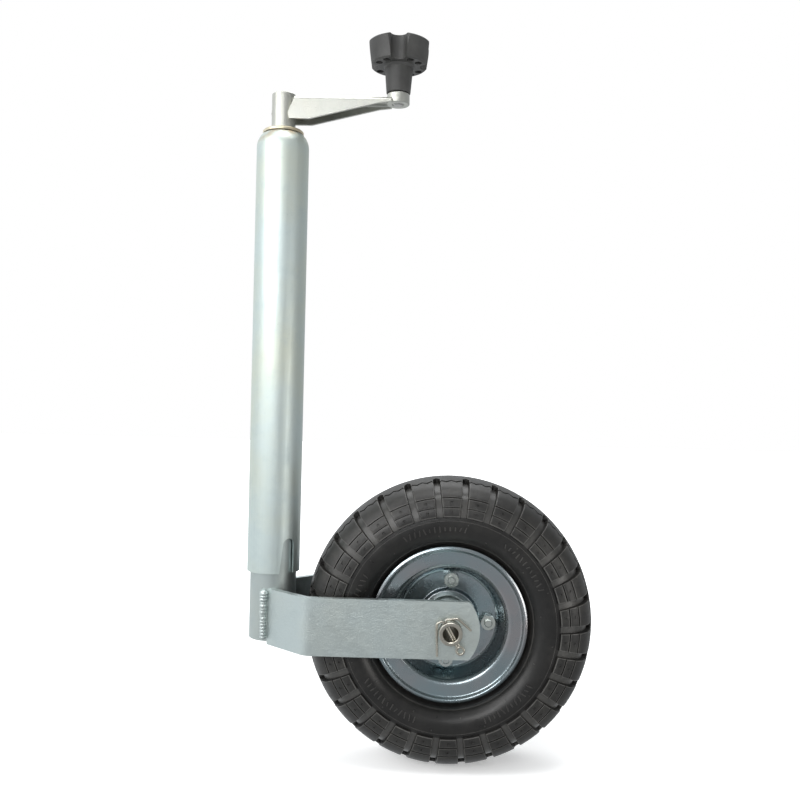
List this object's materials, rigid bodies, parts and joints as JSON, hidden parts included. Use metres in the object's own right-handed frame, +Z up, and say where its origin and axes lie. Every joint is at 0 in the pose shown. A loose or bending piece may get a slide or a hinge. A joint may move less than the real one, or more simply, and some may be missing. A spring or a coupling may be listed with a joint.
{
  "type": "trailer tongue jack",
  "caption": "Telescopic jockey wheel jack: crank turns a screw that raises or lowers a pneumatic wheel carried in a two-arm swivelling fork.",
  "frame": {"origin": "on the axis of the outer tube, half way along it, where the drawbar clamp grips", "axes": "+Z up along the tube towards the crank, +X from the tube towards the wheel, +Y along the wheel's axle"},
  "size_m": [0.3164, 0.1244, 0.6584],
  "materials": {
    "zinc_tube": "zinc plated, satin",
    "zinc_fork": "zinc plated, dull",
    "zinc_rim": "bright zinc plate",
    "zinc_bolt": "bright zinc plate",
    "zinc_crank": "zinc plated, satin",
    "zinc_yellow": "yellow passivated zinc",
    "steel": "turned, greased",
    "bronze": "machined",
    "knob_plastic": "moulded, fine matte",
    "cage_plastic": "moulded",
    "tyre_rubber": "dusty matte rubber",
    "tube_rubber": "matte"
  },
  "bodies": {
    "outer": {"outer_tube": "zinc_tube", "top_plate": "steel", "neck_bush": "bronze", "thrust_race_upper": "steel"},
    "crank": {"spindle": "steel", "spindle_stop": "steel", "thrust_race_lower": "steel", "cover_washer": "zinc_yellow", "crank_hub": "zinc_crank", "crank_roll_pin": "steel", "crank_arm": "zinc_crank", "crank_boss": "zinc_crank", "knob_pin": "steel"},
    "knob": {"knob": "knob_plastic"},
    "thrust_bearing": {"thrust_cage": "cage_plastic", "thrust_balls": "steel"},
    "nut": {"spindle_nut": "steel"},
    "fork": {"inner_tube": "zinc_tube", "nut_retainer_upper": "steel", "nut_retainer_lower": "steel", "fork_arm_near": "zinc_fork", "fork_arm_far": "zinc_fork", "weld_beads": "zinc_fork", "axle": "zinc_yellow", "axle_washers": "zinc_fork", "split_pin_near": "zinc_yellow", "split_pin_far": "zinc_yellow"},
    "wheel": {"tyre_tread": "tyre_rubber", "tyre_wall_near": "tyre_rubber", "tyre_wall_far": "tyre_rubber", "air_tube": "tube_rubber", "valve_stem": "tube_rubber", "valve_cap": "cage_plastic", "rim_half_near": "zinc_rim", "rim_half_far": "zinc_rim", "hub_tube": "zinc_fork", "hub_flange": "zinc_fork", "rim_bolts": "zinc_bolt", "rim_nuts": "zinc_bolt", "lock_washers": "zinc_bolt"},
    "wheel_bearings": {"roller_cages": "cage_plastic", "rollers": "steel"}
  },
  "joints": [
    {"name": "crank_turn", "type": "hinge", "parent": "outer", "child": "crank", "pos_m": [0, 0, 0.2392], "axis": [0, 0, -1], "range_deg": [-1080, 18900]},
    {"name": "knob_spin", "type": "hinge", "parent": "crank", "child": "knob", "pos_m": [0.1057, 0, 0.2664], "axis": [0, 0, 1], "continuous": true},
    {"name": "thrust_cage_roll", "type": "hinge", "parent": "outer", "child": "thrust_bearing", "pos_m": [0, 0, 0.1835], "axis": [0, 0, -1], "range_deg": [-541, 9451]},
    {"name": "lift", "type": "slide", "parent": "outer", "child": "nut", "axis": [0, 0, -1], "range_m": [-0.0121, 0.2101]},
    {"name": "swivel", "type": "hinge", "parent": "nut", "child": "fork", "pos_m": [0, 0, -0.2385], "axis": [0, 0, 1], "continuous": true},
    {"name": "wheel_spin", "type": "hinge", "parent": "fork", "child": "wheel", "pos_m": [0.1624, 0, -0.2395], "axis": [0, 1, 0], "continuous": true},
    {"name": "roller_cage_roll", "type": "hinge", "parent": "fork", "child": "wheel_bearings", "pos_m": [0.1624, 0, -0.2395], "axis": [0, 1, 0], "continuous": true}
  ],
  "couplings": [
    {"joint": "lift", "follows": "crank_turn", "m_per_rad": 0.00063662},
    {"joint": "thrust_cage_roll", "follows": "crank_turn", "ratio": 0.5},
    {"joint": "roller_cage_roll", "follows": "wheel_spin", "ratio": 0.6226}
  ]
}
